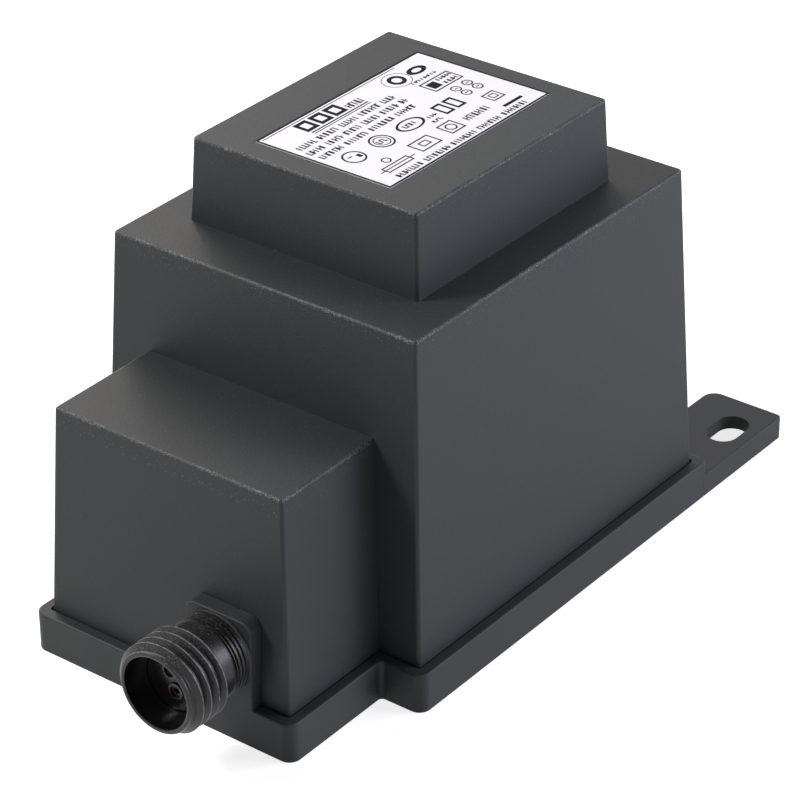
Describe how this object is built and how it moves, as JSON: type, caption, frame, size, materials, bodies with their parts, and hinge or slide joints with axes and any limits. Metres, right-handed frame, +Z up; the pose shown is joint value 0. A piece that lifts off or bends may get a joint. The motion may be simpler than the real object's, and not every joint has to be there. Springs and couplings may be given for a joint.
{
  "type": "lighting transformer",
  "caption": "Low-voltage garden lighting transformer in a stepped moulded housing with slotted mounting ears, a threaded output socket and a rear cable inlet.",
  "frame": {"origin": "centre of the main block's footprint on the underside of the base", "axes": "+Y from the output socket to the mounting ears, +Z up from the base, +X across the housing"},
  "size_m": [0.0884, 0.1824, 0.0994],
  "materials": {
    "housing": "fine-textured black moulding",
    "connector": "smooth black moulding",
    "contact_brass": "turned brass",
    "seal_rubber": "black rubber",
    "lamination": "varnished electrical steel",
    "former": "natural polyamide",
    "copper": "enamelled copper wire",
    "tape": "polyester tape",
    "zinc_steel": "zinc plated",
    "label_paper": "printed film",
    "lead_brown": "PVC insulation",
    "lead_blue": "PVC insulation",
    "lead_black": "PVC insulation"
  },
  "bodies": {
    "root": {"base": "housing", "cover": "housing", "label": "label_paper", "core_e": "lamination", "core_i": "lamination", "core_screws": "zinc_steel", "bobbin": "former", "primary_winding": "copper", "secondary_winding": "copper", "primary_tape": "tape", "secondary_tape": "tape", "coil_pins": "zinc_steel", "thermal_cutout": "former", "socket_shell": "connector", "socket_insert": "connector", "socket_contacts": "contact_brass", "socket_seal": "seal_rubber", "socket_nut": "connector", "gland_body": "connector", "gland_seal": "seal_rubber", "gland_nut": "connector", "terminal_block": "former", "terminal_screws": "contact_brass", "cover_screws": "zinc_steel", "primary_lead_live": "lead_brown", "primary_lead_neutral": "lead_blue", "secondary_lead_a": "lead_black", "secondary_lead_b": "lead_black"}
  },
  "joints": []
}
